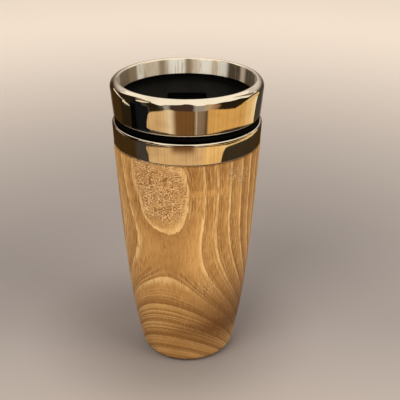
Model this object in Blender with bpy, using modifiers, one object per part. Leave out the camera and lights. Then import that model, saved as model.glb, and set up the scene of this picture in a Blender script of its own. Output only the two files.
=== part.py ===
"""A turned wooden travel mug with a steel collar and a steel-rimmed screw lid, standing on its foot.

Metres, +Z up. The origin is the middle of the foot, and the sip hole of the lid faces -Y.
"""

import math

import bmesh
import bpy

# Driving dimensions: fits and facets
FIT_GAP = 0.0003
TURNED_STEPS = 48
WOOD_SIDE_POINTS = 11
ARC_STEP = 18
CORNER_STEPS = 5
SHARP_ANGLE = math.radians(32)

# Driving dimensions: wooden sleeve and its base plug
WOOD_HEIGHT = 0.13585
WOOD_TAPER = 0.0086
WOOD_BELLY = 0.0066
WOOD_BELLY_POWER = 4
WOOD_PROUD = 0.0002
WOOD_EDGE = 0.0004
FOOT_ROUND_HEIGHT = 0.0050
SLEEVE_FLOOR = 0.0070
TENON_WALL = 0.0033
AIR_GAP = 0.0015
BASE_PLUG_RADIUS = 0.0160
BASE_PLUG_THICKNESS = 0.0055
BASE_PLUG_RECESS = 0.0005
BASE_PLUG_EDGE = 0.0006

# Driving dimensions: steel liner
LINER_WALL = 0.0009
LINER_FOOT_RADIUS = 0.0223
LINER_STRAIGHT = 0.0300
LINER_CORNER = 0.0050
LINER_FLOOR_GAP = 0.0020
LINER_FLANGE = 0.0008

# Driving dimensions: steel collar band round the top of the wood
BAND_HEIGHT = 0.01265
BAND_WALL = 0.0011
BAND_FLARE = 0.0007
BAND_ROUND = 0.0015
BAND_LIP = 0.0012
BAND_LIP_OVERLAP = 0.0025

# Driving dimensions: black neck ring in the mouth
NECK_WALL = 0.0017
NECK_REACH = 0.0150
NECK_FLANGE = 0.0019
NECK_FLANGE_INSET = 0.0013

# Driving dimensions: screw thread between neck ring and lid
THREAD_LEAD = 0.0120
THREAD_STARTS = 2
THREAD_DEPTH = 0.0010
THREAD_ROOT_WIDTH = 0.0022
THREAD_CREST_WIDTH = 0.0012
THREAD_CLEARANCE = 0.0004
THREAD_FLANK_GAP = 0.0003
THREAD_SUNK = 0.0006
LID_THREAD_TURN = math.radians(240)
NECK_THREAD_TURN = math.radians(270)
LID_THREAD_RISE = 0.0030

# Driving dimensions: lid
LID_GAP = 0.0010
LID_HEIGHT = 0.0200
LID_INSET = 0.0010
RIM_WALL = 0.0008
RIM_FLARE = 0.0015
RIM_FOOT_ROUND = 0.0008
LIP_ROUND = 0.0040
LIP_EDGE_ROUND = 0.0008
HEM_DEPTH = 0.0094
HEM_TAPER = 0.0006
DECK_DEPTH = 0.0118
DECK_THICKNESS = 0.0025
DECK_CORE = 0.0054
DISH_INSET = 0.0002
DISH_ROUND = 0.0010
SKIRT_RADIUS = 0.0322
SKIRT_WALL = 0.0020
SKIRT_REACH = 0.0202
GASKET_THICKNESS = 0.0016
GASKET_WIDTH = 0.0045

# Driving dimensions: sip hole, vent, slider and its seal
SIP_HOLE_LENGTH = 0.0140
SIP_HOLE_WIDTH = 0.0070
SIP_HOLE_CORNER = 0.0031
SIP_HOLE_REACH = 0.0215
VENT_RADIUS = 0.0014
VENT_SIDES = 16
VENT_SPACING = 0.0020
TRACK_WIDTH = 0.0220
TRACK_DEPTH = 0.0030
TRACK_CORNER = 0.0020
GROOVE_DEPTH = 0.0010
TONGUE_THICKNESS = 0.0009
SLIDER_NOSE = 0.0022
SLIDER_LENGTH = 0.0202
SLIDER_THICKNESS = 0.0022
SLIDER_TRAVEL = 0.0150
GRIP_BARS = 3
GRIP_LENGTH = 0.0130
GRIP_WIDTH = 0.0014
GRIP_HEIGHT = 0.0011
GRIP_PITCH = 0.0030
GRIP_INSET = 0.0032
GRIP_CORNER = 0.0005
SEAL_MARGIN = 0.0015
SEAL_THICKNESS = 0.0015
CUT_THROUGH = 0.0020

# Radii that follow, from the mouth outwards
NECK_BORE = SKIRT_RADIUS + THREAD_DEPTH + THREAD_CLEARANCE
NECK_RADIUS = NECK_BORE + NECK_WALL
LINER_BORE = NECK_RADIUS + FIT_GAP
LINER_RADIUS = LINER_BORE + LINER_WALL
SLEEVE_BORE = LINER_RADIUS + FIT_GAP
TENON_RADIUS = SLEEVE_BORE + TENON_WALL
BAND_BORE = TENON_RADIUS + FIT_GAP
BAND_RADIUS = BAND_BORE + BAND_WALL
BAND_TOP_RADIUS = BAND_RADIUS + BAND_FLARE
WOOD_TOP_RADIUS = BAND_RADIUS + WOOD_PROUD
NECK_FLANGE_RADIUS = BAND_TOP_RADIUS - NECK_FLANGE_INSET
LID_RADIUS = BAND_TOP_RADIUS - LID_INSET
LIP_CENTRE_RADIUS = LID_RADIUS + RIM_FLARE - LIP_ROUND
RIM_BORE = LIP_CENTRE_RADIUS - LIP_EDGE_ROUND
CORE_BORE = RIM_BORE + RIM_WALL + FIT_GAP
CORE_RADIUS = LID_RADIUS - RIM_WALL - FIT_GAP

# Heights that follow, from the foot upwards
LINER_FLOOR = SLEEVE_FLOOR + LINER_FLOOR_GAP
BAND_BOTTOM = WOOD_HEIGHT + FIT_GAP
BAND_TOP = BAND_BOTTOM + BAND_HEIGHT
FLANGE_TOP = BAND_TOP - BAND_LIP - FIT_GAP
FLANGE_BOTTOM = FLANGE_TOP - LINER_FLANGE
TENON_TOP = FLANGE_BOTTOM - FIT_GAP
NECK_FLANGE_BOTTOM = BAND_TOP + FIT_GAP
NECK_FLANGE_TOP = NECK_FLANGE_BOTTOM + NECK_FLANGE
LID_BOTTOM = NECK_FLANGE_TOP + LID_GAP
LID_TOP = LID_BOTTOM + LID_HEIGHT
LIP_CENTRE = LID_TOP - LIP_ROUND
HEM_BOTTOM = LID_TOP - HEM_DEPTH
DECK_EDGE = HEM_BOTTOM - FIT_GAP
DECK_TOP = LID_TOP - DECK_DEPTH
TROUGH_TOP = DECK_TOP - DECK_THICKNESS
CORE_UNDERSIDE = DECK_TOP - DECK_CORE
SKIRT_BOTTOM = TROUGH_TOP - SKIRT_REACH
GASKET_TOP = TROUGH_TOP - FIT_GAP
GASKET_BOTTOM = GASKET_TOP - GASKET_THICKNESS
NECK_TOP = GASKET_BOTTOM - FIT_GAP
NECK_BOTTOM = NECK_FLANGE_BOTTOM - NECK_REACH

# Slider places that follow, along Y
SLIDER_FRONT = -(SIP_HOLE_REACH + SIP_HOLE_WIDTH / 2 + SLIDER_NOSE)
SLIDER_MIDDLE = SLIDER_FRONT + SLIDER_LENGTH / 2
VENT_PLACE = -SIP_HOLE_REACH + SIP_HOLE_WIDTH / 2 + VENT_SPACING + VENT_RADIUS
SEAL_FRONT = -SIP_HOLE_REACH - SIP_HOLE_WIDTH / 2 - SEAL_MARGIN
SEAL_BACK = VENT_PLACE + VENT_RADIUS + SEAL_MARGIN
TRACK_FLOOR = DECK_TOP - TRACK_DEPTH
SEAL_BOTTOM = TRACK_FLOOR + FIT_GAP
SLIDER_BOTTOM = SEAL_BOTTOM + FIT_GAP


def clear_scene():
    """Remove what the startup file holds."""
    for thing in list(bpy.data.objects):
        bpy.data.objects.remove(thing, do_unlink=True)


def new_collection(name):
    collection = bpy.data.collections.new(name)
    bpy.context.scene.collection.children.link(collection)
    return collection


def finish(thing, colour, roughness, metallic=0.0):
    """Give a piece its own material."""
    material = bpy.data.materials.new(thing.name)
    material.use_nodes = True
    shader = material.node_tree.nodes["Principled BSDF"]
    shader.inputs["Base Color"].default_value = (*colour, 1.0)
    shader.inputs["Roughness"].default_value = roughness
    shader.inputs["Metallic"].default_value = metallic
    thing.data.materials.clear()
    thing.data.materials.append(material)


def place(name, mesh, collection):
    thing = bpy.data.objects.new(name, mesh)
    collection.objects.link(thing)
    return thing


def settle(thing):
    """Turn a piece's modifiers into its mesh, with smooth faces between sharp edges."""
    graph = bpy.context.evaluated_depsgraph_get()
    mesh = bpy.data.meshes.new_from_object(thing.evaluated_get(graph))
    thing.modifiers.clear()
    thing.data = mesh
    mesh.shade_smooth()
    mesh.set_sharp_from_angle(angle=SHARP_ANGLE)


def turned(name, profile, collection, closed=True):
    """A body turned about Z from (radius, height) points that run down its outer side."""
    points = [(radius, 0.0, height) for radius, height in profile]
    edges = [(i, i + 1) for i in range(len(points) - 1)]
    if closed:
        edges.append((len(points) - 1, 0))
    mesh = bpy.data.meshes.new(name)
    mesh.from_pydata(points, edges, [])
    thing = place(name, mesh, collection)
    screw = thing.modifiers.new("turn", "SCREW")
    screw.steps = TURNED_STEPS
    screw.render_steps = TURNED_STEPS
    screw.use_merge_vertices = True
    screw.merge_threshold = 0.00001
    settle(thing)
    return thing


def arc(centre, radius, start, end):
    """Points on an arc in the (radius, height) plane, with angles in degrees from +radius."""
    points = []
    steps = math.ceil(abs(end - start) / ARC_STEP)
    for i in range(steps + 1):
        angle = math.radians(start + (end - start) * i / steps)
        points.append((centre[0] + radius * math.cos(angle), centre[1] + radius * math.sin(angle)))
    return points


def block(name, size, centre, collection, corner=0.0):
    """A box whose upright edges are rounded by the corner radius."""
    bpy.ops.mesh.primitive_cube_add(size=1.0, location=centre)
    thing = bpy.context.object
    thing.name = name
    for other in list(thing.users_collection):
        other.objects.unlink(thing)
    collection.objects.link(thing)
    box = bmesh.new()
    box.from_mesh(thing.data)
    bmesh.ops.scale(box, vec=size, verts=box.verts)
    if corner:
        upright = [e for e in box.edges if abs(e.verts[0].co.z - e.verts[1].co.z) > size[2] / 2]
        bmesh.ops.bevel(
            box,
            geom=upright,
            offset=corner,
            segments=CORNER_STEPS,
            profile=0.5,
            affect="EDGES",
            clamp_overlap=True,
        )
    box.to_mesh(thing.data)
    box.free()
    return thing


def combine(thing, other, operation):
    """Cut a helper from a piece, or join it on. The helper stays in the cutters, out of renders."""
    other.hide_render = True
    other.display_type = "WIRE"
    boolean = thing.modifiers.new(f"{operation.lower()} {other.name}", "BOOLEAN")
    boolean.operation = operation
    boolean.object = other
    boolean.solver = "EXACT"


def thread_ridge(name, root_radius, crest_radius, height, start, turn, cutters):
    """One closed helical ridge, swept from a four-sided section at the start angle."""
    section = bmesh.new()
    half_root = THREAD_ROOT_WIDTH / 2
    half_crest = THREAD_CREST_WIDTH / 2
    corners = [
        (root_radius, height + half_root),
        (crest_radius, height + half_crest),
        (crest_radius, height - half_crest),
        (root_radius, height - half_root),
    ]
    verts = [section.verts.new((r * math.cos(start), r * math.sin(start), z)) for r, z in corners]
    section.faces.new(verts)
    steps = round(TURNED_STEPS * turn / math.tau)
    bmesh.ops.spin(
        section,
        geom=section.verts[:] + section.edges[:] + section.faces[:],
        axis=(0, 0, 1),
        cent=(0, 0, 0),
        dvec=(0, 0, THREAD_LEAD / math.tau * turn / steps),
        angle=turn,
        steps=steps,
    )
    bmesh.ops.recalc_face_normals(section, faces=section.faces)
    mesh = bpy.data.meshes.new(name)
    section.to_mesh(mesh)
    section.free()
    return place(name, mesh, cutters)


def add_thread(thing, root_radius, crest_radius, height, turn, cutters):
    """Join every start of the thread to a piece."""
    for start in range(THREAD_STARTS):
        angle = math.tau * start / THREAD_STARTS
        ridge = thread_ridge(
            f"{thing.name}_thread_{start + 1}", root_radius, crest_radius, height, angle, turn, cutters
        )
        combine(thing, ridge, "UNION")


def wood_radius(height):
    """Outside of the wood: a straight taper that draws in faster towards the foot."""
    drop = 1 - height / WOOD_HEIGHT
    return WOOD_TOP_RADIUS - WOOD_TAPER * drop - WOOD_BELLY * drop**WOOD_BELLY_POWER


def wood_lean(height):
    """Angle of the wood's outside from upright."""
    drop = 1 - height / WOOD_HEIGHT
    steepening = WOOD_BELLY * WOOD_BELLY_POWER * drop ** (WOOD_BELLY_POWER - 1)
    return math.atan((WOOD_TAPER + steepening) / WOOD_HEIGHT)


def make_wood_sleeve(parts):
    side_top = WOOD_HEIGHT - WOOD_EDGE
    side = []
    for i in range(WOOD_SIDE_POINTS):
        height = side_top + (FOOT_ROUND_HEIGHT - side_top) * i / (WOOD_SIDE_POINTS - 1)
        side.append((wood_radius(height), height))
    lean = wood_lean(FOOT_ROUND_HEIGHT)
    foot_round = FOOT_ROUND_HEIGHT / (1 - math.sin(lean))
    foot_centre = (wood_radius(FOOT_ROUND_HEIGHT) - foot_round * math.cos(lean), foot_round)
    foot = arc(foot_centre, foot_round, -math.degrees(lean), -90)[1:]
    hole = BASE_PLUG_RADIUS + FIT_GAP
    bore_foot = LINER_FOOT_RADIUS + AIR_GAP
    profile = [
        (TENON_RADIUS, TENON_TOP),
        (TENON_RADIUS, WOOD_HEIGHT),
        (WOOD_TOP_RADIUS - WOOD_EDGE, WOOD_HEIGHT),
        *side,
        *foot,
        (hole, 0.0),
        (hole, SLEEVE_FLOOR),
        (bore_foot, SLEEVE_FLOOR),
        (bore_foot, LINER_FLOOR + LINER_CORNER),
        (SLEEVE_BORE, FLANGE_BOTTOM - LINER_STRAIGHT),
        (SLEEVE_BORE, TENON_TOP),
    ]
    sleeve = turned("wood_sleeve", profile, parts)
    finish(sleeve, (0.40, 0.21, 0.065), 0.45)


def make_base_plug(parts):
    bottom = BASE_PLUG_RECESS
    top = bottom + BASE_PLUG_THICKNESS
    profile = [
        (0.0, top),
        (BASE_PLUG_RADIUS - BASE_PLUG_EDGE, top),
        (BASE_PLUG_RADIUS, top - BASE_PLUG_EDGE),
        (BASE_PLUG_RADIUS, bottom + BASE_PLUG_EDGE),
        (BASE_PLUG_RADIUS - BASE_PLUG_EDGE, bottom),
        (0.0, bottom),
    ]
    plug = turned("base_plug", profile, parts, closed=False)
    finish(plug, (0.36, 0.19, 0.06), 0.5)


def make_liner_cup(parts):
    corner_centre = (LINER_FOOT_RADIUS - LINER_CORNER, LINER_FLOOR + LINER_CORNER)
    neck_foot = FLANGE_BOTTOM - LINER_STRAIGHT
    profile = [
        (0.0, LINER_FLOOR + LINER_WALL),
        *arc(corner_centre, LINER_CORNER - LINER_WALL, -90, 0),
        (LINER_BORE, neck_foot),
        (LINER_BORE, FLANGE_TOP),
        (TENON_RADIUS, FLANGE_TOP),
        (TENON_RADIUS, FLANGE_BOTTOM),
        (LINER_RADIUS, FLANGE_BOTTOM),
        (LINER_RADIUS, neck_foot),
        *arc(corner_centre, LINER_CORNER, 0, -90),
        (0.0, LINER_FLOOR),
    ]
    liner = turned("liner_cup", profile, parts, closed=False)
    finish(liner, (0.62, 0.60, 0.57), 0.3, 1.0)


def make_collar_band(parts):
    round_centre = (BAND_TOP_RADIUS - BAND_ROUND, BAND_TOP - BAND_ROUND)
    profile = [
        (BAND_BORE - BAND_LIP_OVERLAP, BAND_TOP - BAND_LIP),
        (BAND_BORE - BAND_LIP_OVERLAP, BAND_TOP),
        *arc(round_centre, BAND_ROUND, 90, 0),
        (BAND_RADIUS, BAND_BOTTOM),
        (BAND_BORE, BAND_BOTTOM),
        (BAND_BORE, BAND_TOP - BAND_LIP),
    ]
    band = turned("collar_band", profile, parts)
    finish(band, (0.66, 0.62, 0.56), 0.1, 1.0)


def make_neck_ring(parts, cutters):
    profile = [
        (NECK_BORE, NECK_TOP),
        (NECK_RADIUS, NECK_TOP),
        (NECK_RADIUS, NECK_FLANGE_TOP),
        (NECK_FLANGE_RADIUS, NECK_FLANGE_TOP),
        (NECK_FLANGE_RADIUS, NECK_FLANGE_BOTTOM),
        (NECK_RADIUS, NECK_FLANGE_BOTTOM),
        (NECK_RADIUS, NECK_BOTTOM),
        (NECK_BORE, NECK_BOTTOM),
    ]
    ring = turned("neck_ring", profile, parts)
    overlap_width = (THREAD_ROOT_WIDTH + THREAD_CREST_WIDTH) / 2
    height = SKIRT_BOTTOM + LID_THREAD_RISE + overlap_width + THREAD_FLANK_GAP
    crest = SKIRT_RADIUS + THREAD_CLEARANCE
    add_thread(ring, NECK_BORE + THREAD_SUNK, crest, height, NECK_THREAD_TURN, cutters)
    finish(ring, (0.012, 0.012, 0.012), 0.4)


def roll_meets(radius, foot):
    """Angle at which a straight wall that rises from its foot runs into the roll of the lip."""
    across = foot[0] - LIP_CENTRE_RADIUS
    down = LIP_CENTRE - foot[1]
    return math.degrees(math.acos(radius / math.hypot(across, down)) - math.atan2(down, across))


def make_lid_rim(parts):
    """One sheet of steel: a flared wall, a roll over the top and a wall inside that draws in on its way down."""
    centre = (LIP_CENTRE_RADIUS, LIP_CENTRE)
    edge_centre = (LIP_CENTRE_RADIUS, LID_TOP - LIP_EDGE_ROUND)
    foot_centre = (LID_RADIUS - RIM_FOOT_ROUND, LID_BOTTOM + RIM_FOOT_ROUND)
    outer_foot = (LID_RADIUS, foot_centre[1])
    inner_foot = (LID_RADIUS - RIM_WALL, LID_BOTTOM)
    inner_round = LIP_ROUND - RIM_WALL
    hem_outside = RIM_BORE + RIM_WALL
    hem_meet = math.degrees(math.acos((hem_outside - LIP_CENTRE_RADIUS) / inner_round))
    profile = [
        (RIM_BORE - HEM_TAPER, HEM_BOTTOM),
        *arc(edge_centre, LIP_EDGE_ROUND, 180, 90),
        *arc(centre, LIP_ROUND, 90, roll_meets(LIP_ROUND, outer_foot))[1:],
        *arc(foot_centre, RIM_FOOT_ROUND, 0, -90),
        inner_foot,
        *arc(centre, inner_round, roll_meets(inner_round, inner_foot), hem_meet),
        (hem_outside - HEM_TAPER, HEM_BOTTOM),
    ]
    rim = turned("lid_rim", profile, parts)
    finish(rim, (0.66, 0.62, 0.56), 0.1, 1.0)


def make_lid_body(parts, cutters):
    dish_radius = RIM_BORE - HEM_TAPER - DISH_INSET
    dish_centre = (dish_radius - DISH_ROUND, DECK_TOP + DISH_ROUND)
    profile = [
        (0.0, DECK_TOP),
        *arc(dish_centre, DISH_ROUND, -90, 0),
        (dish_radius, DECK_EDGE),
        (CORE_BORE, DECK_EDGE),
        (CORE_BORE, LIP_CENTRE),
        (CORE_RADIUS, LIP_CENTRE),
        (CORE_RADIUS, LID_BOTTOM + FIT_GAP),
        (CORE_BORE, LID_BOTTOM + FIT_GAP),
        (CORE_BORE, TROUGH_TOP),
        (SKIRT_RADIUS, TROUGH_TOP),
        (SKIRT_RADIUS, SKIRT_BOTTOM),
        (SKIRT_RADIUS - SKIRT_WALL, SKIRT_BOTTOM),
        (SKIRT_RADIUS - SKIRT_WALL, CORE_UNDERSIDE),
        (0.0, CORE_UNDERSIDE),
    ]
    body = turned("lid_body", profile, parts, closed=False)
    height = SKIRT_BOTTOM + LID_THREAD_RISE
    crest = SKIRT_RADIUS + THREAD_DEPTH
    add_thread(body, SKIRT_RADIUS - THREAD_SUNK, crest, height, LID_THREAD_TURN, cutters)

    track_length = SLIDER_LENGTH + SLIDER_TRAVEL + 2 * FIT_GAP
    track_middle = SLIDER_MIDDLE + SLIDER_TRAVEL / 2
    track_height = TRACK_DEPTH + CUT_THROUGH
    track = block(
        "track_cutter",
        (TRACK_WIDTH, track_length, track_height),
        (0.0, track_middle, TRACK_FLOOR + track_height / 2),
        cutters,
        TRACK_CORNER,
    )
    groove_height = TONGUE_THICKNESS + 2 * FIT_GAP
    groove = block(
        "groove_cutter",
        (TRACK_WIDTH + 2 * GROOVE_DEPTH, track_length, groove_height),
        (0.0, track_middle, SLIDER_BOTTOM - FIT_GAP + groove_height / 2),
        cutters,
        TRACK_CORNER,
    )
    hole_height = DECK_CORE - TRACK_DEPTH + 2 * CUT_THROUGH
    sip_hole = block(
        "sip_hole_cutter",
        (SIP_HOLE_LENGTH, SIP_HOLE_WIDTH, hole_height),
        (0.0, -SIP_HOLE_REACH, CORE_UNDERSIDE - CUT_THROUGH + hole_height / 2),
        cutters,
        SIP_HOLE_CORNER,
    )
    bpy.ops.mesh.primitive_cylinder_add(
        vertices=VENT_SIDES,
        radius=VENT_RADIUS,
        depth=DECK_CORE + 2 * CUT_THROUGH,
        location=(0.0, VENT_PLACE, DECK_TOP - DECK_CORE / 2),
    )
    vent = bpy.context.object
    vent.name = "vent_cutter"
    for collection in list(vent.users_collection):
        collection.objects.unlink(vent)
    cutters.objects.link(vent)
    for cutter in (track, groove, sip_hole, vent):
        combine(body, cutter, "DIFFERENCE")
    finish(body, (0.012, 0.012, 0.012), 0.35)
    return body


def make_lid_gasket(parts):
    bore = SKIRT_RADIUS + FIT_GAP
    profile = [
        (bore, GASKET_TOP),
        (bore + GASKET_WIDTH, GASKET_TOP),
        (bore + GASKET_WIDTH, GASKET_BOTTOM),
        (bore, GASKET_BOTTOM),
    ]
    gasket = turned("lid_gasket", profile, parts)
    finish(gasket, (0.03, 0.03, 0.03), 0.6)


def make_slider(parts, cutters):
    """The thumb slider: a plate with side tongues and grip bars, and a seal in it that covers both holes."""
    middle = SLIDER_BOTTOM + SLIDER_THICKNESS / 2
    width = TRACK_WIDTH - 2 * FIT_GAP
    slider = block(
        "slider", (width, SLIDER_LENGTH, SLIDER_THICKNESS), (0.0, SLIDER_MIDDLE, middle), parts, TRACK_CORNER
    )
    tongues = block(
        "slider_tongues",
        (width + 2 * GROOVE_DEPTH, SLIDER_LENGTH - 2 * TRACK_CORNER, TONGUE_THICKNESS),
        (0.0, SLIDER_MIDDLE, SLIDER_BOTTOM + TONGUE_THICKNESS / 2),
        cutters,
    )
    combine(slider, tongues, "UNION")
    top = SLIDER_BOTTOM + SLIDER_THICKNESS
    last_bar = SLIDER_FRONT + SLIDER_LENGTH - GRIP_INSET
    for i in range(GRIP_BARS):
        bar = block(
            f"grip_bar_{i + 1}",
            (GRIP_LENGTH, GRIP_WIDTH, GRIP_HEIGHT + FIT_GAP),
            (0.0, last_bar - GRIP_PITCH * i, top + (GRIP_HEIGHT - FIT_GAP) / 2),
            cutters,
            GRIP_CORNER,
        )
        combine(slider, bar, "UNION")
    seal_size = (SIP_HOLE_LENGTH + 2 * SEAL_MARGIN, SEAL_BACK - SEAL_FRONT)
    seal_middle = (SEAL_FRONT + SEAL_BACK) / 2
    pocket_depth = SEAL_BOTTOM + SEAL_THICKNESS + FIT_GAP - SLIDER_BOTTOM
    pocket_height = pocket_depth + CUT_THROUGH
    pocket = block(
        "seal_pocket_cutter",
        (seal_size[0] + 2 * FIT_GAP, seal_size[1] + 2 * FIT_GAP, pocket_height),
        (0.0, seal_middle, SLIDER_BOTTOM + pocket_depth - pocket_height / 2),
        cutters,
        TRACK_CORNER,
    )
    combine(slider, pocket, "DIFFERENCE")
    finish(slider, (0.014, 0.014, 0.014), 0.35)
    seal = block(
        "slider_seal",
        (*seal_size, SEAL_THICKNESS),
        (0.0, seal_middle, SEAL_BOTTOM + SEAL_THICKNESS / 2),
        parts,
        TRACK_CORNER,
    )
    finish(seal, (0.03, 0.03, 0.03), 0.6)
    return slider, seal


def carry(child, parent):
    """Parent a piece and keep it where it stands."""
    bpy.context.view_layer.update()
    child.parent = parent
    child.matrix_parent_inverse = parent.matrix_world.inverted()


def main():
    clear_scene()
    parts = new_collection("travel_mug")
    cutters = new_collection("cutters")
    make_wood_sleeve(parts)
    make_base_plug(parts)
    make_liner_cup(parts)
    make_collar_band(parts)
    make_neck_ring(parts, cutters)
    make_lid_rim(parts)
    body = make_lid_body(parts, cutters)
    make_lid_gasket(parts)
    slider, seal = make_slider(parts, cutters)

    screw_axis = bpy.data.objects.new("lid_screw_axis", None)
    screw_axis.location = (0.0, 0.0, LID_BOTTOM)
    parts.objects.link(screw_axis)
    for name in ("lid_rim", "lid_gasket"):
        carry(parts.objects[name], screw_axis)
    carry(body, screw_axis)
    carry(slider, screw_axis)
    carry(seal, slider)


main()
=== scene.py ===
# %% [markdown]
# # A turned-wood travel mug
#
# The mug has a body turned from figured hardwood, a steel liner inside it, two bands of polished
# steel round its mouth and a black lid that screws in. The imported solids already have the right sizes
# and joints, so this lesson keeps them as a frame and gives each one a finer surface: smooth turned
# forms, softened edges and finishes drawn with nodes. Lengths are in metres, unless a name says mm.

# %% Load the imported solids
import math

import bmesh
import bpy
from mathutils import Matrix, Vector


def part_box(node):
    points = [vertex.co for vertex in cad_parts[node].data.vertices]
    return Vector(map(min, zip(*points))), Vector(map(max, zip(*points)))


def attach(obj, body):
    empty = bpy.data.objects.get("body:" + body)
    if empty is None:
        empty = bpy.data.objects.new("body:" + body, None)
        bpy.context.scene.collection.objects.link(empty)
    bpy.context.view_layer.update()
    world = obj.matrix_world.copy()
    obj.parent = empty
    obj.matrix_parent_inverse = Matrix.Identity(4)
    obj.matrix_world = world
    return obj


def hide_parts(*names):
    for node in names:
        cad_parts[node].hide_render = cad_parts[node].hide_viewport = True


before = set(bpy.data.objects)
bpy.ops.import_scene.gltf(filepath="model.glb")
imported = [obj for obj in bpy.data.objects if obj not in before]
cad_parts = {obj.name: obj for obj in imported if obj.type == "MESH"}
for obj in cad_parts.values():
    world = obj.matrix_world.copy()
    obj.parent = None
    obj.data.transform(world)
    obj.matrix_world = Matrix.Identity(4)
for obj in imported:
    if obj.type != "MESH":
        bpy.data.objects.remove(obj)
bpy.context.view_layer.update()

print("solids:", ", ".join(sorted(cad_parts)))

# %% [markdown]
# ## The lathe
#
# Nearly every piece of this mug is round: the wood came off a lathe, and the steel and the plastic are
# spun or moulded about the same axis. A piece could be built from cylinders, but a turner draws the
# outline first. So a helper draws an outline with one vertex that is extruded from corner to corner,
# and spins it once round Z. Real edges are never knife sharp, so each corner can carry a rounding.

# %% Round the corners of an outline
CORNER_STEPS = 6


def sweep_points(centre, radius, start, end, steps):
    """Points on an arc in the (radius, height) plane, with angles in radians from +radius."""
    angles = [start + (end - start) * i / steps for i in range(steps + 1)]
    return [centre + radius * Vector((math.cos(a), math.sin(a))) for a in angles]


def soften(corners):
    """An outline through (radius, height, rounding) corners, with an arc wherever there is a rounding."""
    points = []
    for i, (radius, height, rounding) in enumerate(corners):
        here = Vector((radius, height))
        if not rounding:
            points.append(here)
            continue
        back = (Vector(corners[i - 1][:2]) - here).normalized()
        ahead = (Vector(corners[(i + 1) % len(corners)][:2]) - here).normalized()
        half = back.angle(ahead) / 2
        centre = here + (back + ahead).normalized() * rounding / math.sin(half)
        first = here + back * rounding / math.tan(half) - centre
        last = here + ahead * rounding / math.tan(half) - centre
        start = math.atan2(first.y, first.x)
        turn_by = (math.atan2(last.y, last.x) - start + math.pi) % math.tau - math.pi
        points += sweep_points(centre, rounding, start, start + turn_by, CORNER_STEPS)
    return points


# %% Draw an outline
ORIGIN = (0, 0, 0)
SEED_SIZE = 0.001


def start_from(add, name, size, location=ORIGIN):
    """A new piece from one of Blender's own shapes. Nothing else stays selected."""
    bpy.ops.object.select_all(action="DESELECT")
    add(size=size, location=location)
    piece = bpy.context.object
    piece.name = name
    piece.data.name = name
    return piece


def draw(name, points):
    """A plane shrunk to one vertex and extruded along an outline. It stays in edit mode."""
    piece = start_from(bpy.ops.mesh.primitive_plane_add, name, SEED_SIZE)
    bpy.ops.object.mode_set(mode="EDIT")
    bpy.ops.mesh.select_mode(type="VERT")
    bpy.ops.mesh.select_all(action="SELECT")
    bpy.ops.mesh.merge(type="CENTER")
    bpy.ops.transform.translate(value=points[0])
    for here, ahead in zip(points, points[1:]):
        bpy.ops.mesh.extrude_region_move(TRANSFORM_OT_translate={"value": ahead - here})
    return piece


def upright(outline):
    """An outline of (radius, height) points, stood up in the plane of X and Z."""
    return [Vector((point.x, 0, point.y)) for point in outline]


# %% Spin an outline
MERGE = 1e-6
TURN_STEPS = 192
HOLD = 0.00015
LONG_RUN = 6 * HOLD
HOLD_TURN = math.radians(0.5)


def weld():
    """Select the whole mesh in edit mode and merge its doubles."""
    bpy.ops.mesh.select_all(action="SELECT")
    bpy.ops.mesh.remove_doubles(threshold=MERGE)


def close_up():
    """Merge the doubles of the mesh in edit mode, turn its faces outwards and leave edit mode."""
    weld()
    bpy.ops.mesh.normals_make_consistent(inside=False)
    bpy.ops.object.mode_set(mode="OBJECT")


def hold_runs(path):
    """Add a point just inside each end of a long straight run, so that it is shaded straight."""
    held = []
    for i, (here, ahead) in enumerate(zip(path, path[1:])):
        run = ahead - here
        before = here - path[i - 1] if i else run
        after = path[i + 2] - ahead if i + 2 < len(path) else run
        held.append(here)
        if run.length > LONG_RUN:
            if before.angle(run) > HOLD_TURN:
                held.append(here + run.normalized() * HOLD)
            if run.angle(after) > HOLD_TURN:
                held.append(ahead - run.normalized() * HOLD)
    return held + path[-1:]


def lathe(name, corners):
    """A piece turned about Z from its corners. Its outline is closed, or starts and ends on the axis."""
    outline = soften(corners)
    on_axis = outline[0].x == 0
    path = hold_runs(outline if on_axis else outline + outline[:1])
    piece = draw(name, upright(path))
    bpy.ops.mesh.select_all(action="SELECT")
    bpy.ops.mesh.spin(steps=TURN_STEPS, angle=math.tau, center=ORIGIN, axis=(0, 0, 1))
    close_up()
    return piece


# %% Join, cut and hand over
SMOOTH_ANGLE = math.radians(32)


def select_only(piece):
    """Make a piece the only selected one, and the active one."""
    bpy.ops.object.select_all(action="DESELECT")
    piece.select_set(True)
    bpy.context.view_layer.objects.active = piece


def apply_modifiers(piece):
    """Turn a piece's modifiers into mesh."""
    select_only(piece)
    for modifier in list(piece.modifiers):
        bpy.ops.object.modifier_apply(modifier=modifier.name)


def combine(piece, tool, operation):
    """Join a helper to a piece or cut it out, and throw the helper away."""
    boolean = piece.modifiers.new(operation.lower(), "BOOLEAN")
    boolean.operation = operation
    boolean.object = tool
    boolean.solver = "EXACT"
    apply_modifiers(piece)
    bpy.data.objects.remove(tool, do_unlink=True)
    bpy.ops.object.mode_set(mode="EDIT")
    weld()
    bpy.ops.mesh.dissolve_degenerate(threshold=MERGE)
    bpy.ops.object.mode_set(mode="OBJECT")


def hand_over(piece, body, node, slot, *finishes):
    """Smooth a finished piece, give it its finishes and set it on the body whose solid it stands for."""
    select_only(piece)
    bpy.ops.object.shade_smooth_by_angle(angle=SMOOTH_ANGLE)
    for finish in finishes:
        piece.data.materials.append(finish.material)
    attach(piece, body)
    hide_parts(node)
    print(f"{piece.name}: {len(piece.data.polygons)} faces on {body}, in place of {node}")


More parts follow.
